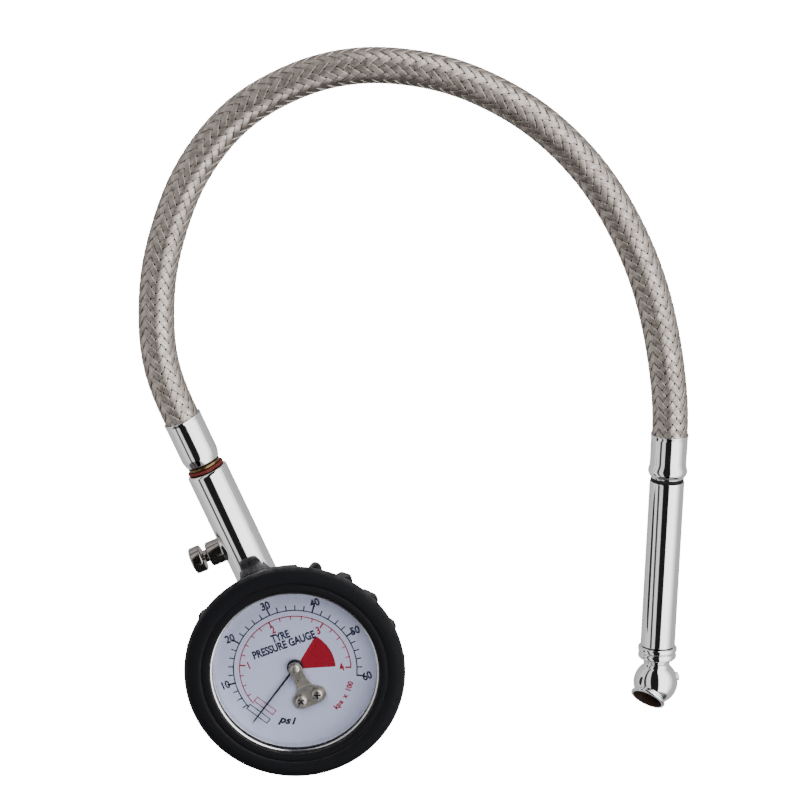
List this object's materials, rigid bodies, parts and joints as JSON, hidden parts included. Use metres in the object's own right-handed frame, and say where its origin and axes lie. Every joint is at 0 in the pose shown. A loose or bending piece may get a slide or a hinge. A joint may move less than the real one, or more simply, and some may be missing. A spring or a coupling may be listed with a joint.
{
  "type": "tire pressure gauge",
  "caption": "Dial tire pressure gauge in a rubber boot, with a bleed button, a braided hose and an angled ball chuck for the tire valve.",
  "frame": {"origin": "centre of the rubber boot's flat back, on which the gauge rests", "axes": "+Z out of the dial, +Y along the stem towards the hose (the dial's twelve o'clock), +X towards the dial's three o'clock"},
  "size_m": [0.1785, 0.2218, 0.0261],
  "materials": {
    "boot_rubber": "matt moulded rubber, slightly dusty",
    "black_rubber": "smooth seal rubber",
    "red_rubber": "smooth red-orange seal rubber",
    "chrome": "bright chrome plate on brass",
    "steel": "satin nickel-plated steel",
    "brass": "turned brass",
    "bronze": "phosphor bronze",
    "dark_nickel": "smooth dark nickel plate",
    "braid": "woven stainless wire",
    "dial_white": "pale blue-white printed enamel",
    "pointer_black": "matt black",
    "clear_lens": "clear moulded plastic"
  },
  "bodies": {
    "gauge": {"rubber_boot": "boot_rubber", "steel_case": "steel", "lens_gasket": "black_rubber", "clear_lens": "clear_lens", "bezel_ring": "chrome", "dial_plate": "dial_white", "pointer_bridge": "steel", "bridge_bush": "steel", "bridge_screw_1": "steel", "bridge_screw_2": "steel", "back_plate": "brass", "front_plate": "brass", "plate_pillar": "brass", "hairspring": "bronze", "hairspring_stud": "brass", "socket_block": "brass", "stem": "chrome", "bleed_bush": "chrome", "bleed_spring": "steel", "check_seat": "brass", "check_spring": "steel", "gauge_nipple": "brass", "red_seal_ring": "red_rubber", "gauge_ferrule": "chrome", "gauge_liner_tail": "black_rubber", "hose": "braid", "chuck_ferrule": "chrome", "chuck_liner_tail": "black_rubber", "swivel_nipple": "brass", "swivel_o_ring": "black_rubber"},
    "pointer": {"pointer": "pointer_black", "pinion_staff": "steel"},
    "sector": {"gear_sector": "brass"},
    "bourdon": {"bourdon_tube": "bronze", "bourdon_tip": "brass"},
    "link": {"tip_link": "steel"},
    "bleed_button": {"bleed_pin": "dark_nickel", "bleed_knob": "dark_nickel", "bleed_seal": "black_rubber"},
    "check_poppet": {"check_poppet": "brass"},
    "chuck": {"chuck_tube": "chrome", "ball_chuck": "chrome", "mouth_seal": "black_rubber", "valve_depressor": "brass", "ball_plug": "chrome"}
  },
  "joints": [
    {"name": "sector_swing", "type": "hinge", "parent": "gauge", "child": "sector", "pos_m": [-0.0024, -0.0113, 0.01], "axis": [0, 0, 1], "range_deg": [0, 42.86]},
    {"name": "pointer_turn", "type": "hinge", "parent": "gauge", "child": "pointer", "pos_m": [0, 0, 0.02], "axis": [0, 0, -1], "range_deg": [0, 240]},
    {"name": "bourdon_flex", "type": "hinge", "parent": "gauge", "child": "bourdon", "pos_m": [0.00678, 0.01935, 0.01], "axis": [0, 0, 1], "range_deg": [0, 4.5]},
    {"name": "link_turn", "type": "hinge", "parent": "bourdon", "child": "link", "pos_m": [-0.01629, -0.00066, 0.0115], "axis": [0, 0, 1], "range_deg": [-5.2, 0]},
    {"name": "bleed_press", "type": "slide", "parent": "gauge", "child": "bleed_button", "axis": [1, 0, 0], "range_m": [0, 0.0015], "stiffness_N_per_m": 600, "springref_m": -0.002, "deforming": ["bleed_spring"]},
    {"name": "check_lift", "type": "slide", "parent": "gauge", "child": "check_poppet", "axis": [0, -1, 0], "range_m": [0, 0.001], "stiffness_N_per_m": 150, "springref_m": -0.002, "deforming": ["check_spring"]},
    {"name": "chuck_swivel", "type": "hinge", "parent": "gauge", "child": "chuck", "pos_m": [0.128, 0.0172, 0.00675], "axis": [-0.4415, -0.8973, 0], "continuous": true}
  ],
  "couplings": [
    {"joint": "pointer_turn", "follows": "sector_swing", "ratio": 5.6},
    {"joint": "bourdon_flex", "follows": "sector_swing", "ratio": 0.10483},
    {"joint": "link_turn", "follows": "sector_swing", "ratio": -0.12}
  ]
}
